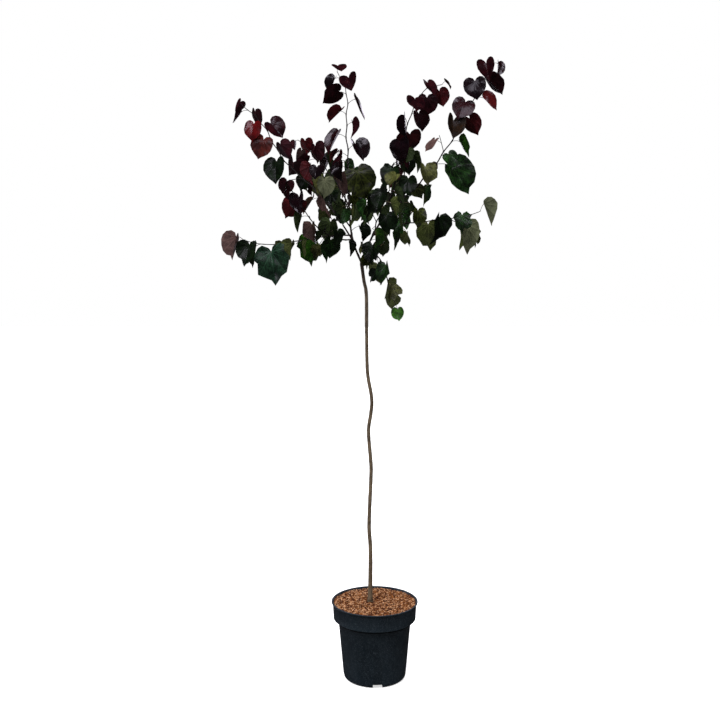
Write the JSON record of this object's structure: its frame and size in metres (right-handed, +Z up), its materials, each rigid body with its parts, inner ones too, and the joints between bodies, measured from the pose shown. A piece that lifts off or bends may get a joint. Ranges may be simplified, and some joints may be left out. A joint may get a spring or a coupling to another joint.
{
  "type": "potted redbud tree",
  "caption": "Young redbud tree on a clear stem with an open, dark-leaved crown, standing in a round nursery pot.",
  "frame": {"origin": "centre of the pot's flat underside", "axes": "+Z up along the stem, +X to the right seen from the crown's front, +Y away from the front"},
  "size_m": [1.0152, 0.7383, 2.2314],
  "materials": {
    "pot_plastic": "satin",
    "mulch": "matte",
    "bark": "matte",
    "green_leaf": "satin",
    "wine_leaf": "satin"
  },
  "bodies": {
    "root": {"pot": "pot_plastic", "soil": "mulch", "trunk": "bark", "leader_bough": "bark", "left_high_bough": "bark", "left_low_bough": "bark", "left_mid_bough": "bark", "left_inner_bough": "bark", "right_tall_bough": "bark", "right_far_bough": "bark", "right_low_bough": "bark", "hanging_bough": "bark", "front_bough": "bark", "left_front_bough": "bark", "back_right_bough": "bark", "back_left_bough": "bark", "leader_foliage": "wine_leaf", "left_high_foliage": "wine_leaf", "left_low_foliage": "green_leaf", "left_mid_foliage": "green_leaf", "left_inner_foliage": "green_leaf", "right_tall_foliage": "wine_leaf", "right_far_foliage": "wine_leaf", "right_low_foliage": "green_leaf", "hanging_foliage": "green_leaf", "front_foliage": "green_leaf", "left_front_foliage": "green_leaf", "back_right_foliage": "green_leaf", "back_left_foliage": "green_leaf"}
  },
  "joints": []
}
